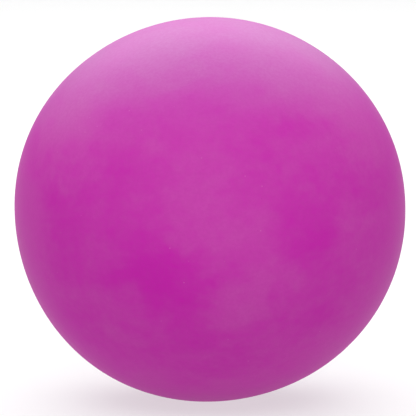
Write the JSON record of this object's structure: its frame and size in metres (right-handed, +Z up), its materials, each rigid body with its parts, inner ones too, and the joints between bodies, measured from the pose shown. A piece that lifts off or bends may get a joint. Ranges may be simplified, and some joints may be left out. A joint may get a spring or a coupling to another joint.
{
  "type": "massage ball",
  "caption": "Smooth, slightly flattened soft ball for hand massage and exercise, air-filled through a flush stopper valve in its side, lying on a small flat contact patch.",
  "frame": {"origin": "centre of the flat patch that the ball lies on, under the ball's middle", "axes": "+Z up from the surface it lies on; +Y out of the valve along the valve's axis; +X to the right of someone who looks along +Y at the side without the valve"},
  "size_m": [0.09, 0.0895, 0.0882],
  "materials": {
    "skin": "matte",
    "bush": "satin",
    "plug": "satin"
  },
  "bodies": {
    "ball": {"ball_skin": "skin", "valve_bush": "bush"},
    "stopper": {"stopper_plug": "plug"}
  },
  "joints": [
    {"name": "stopper_slide", "type": "slide", "parent": "ball", "child": "stopper", "axis": [0, 1, 0], "range_m": [0, 0.05]}
  ]
}
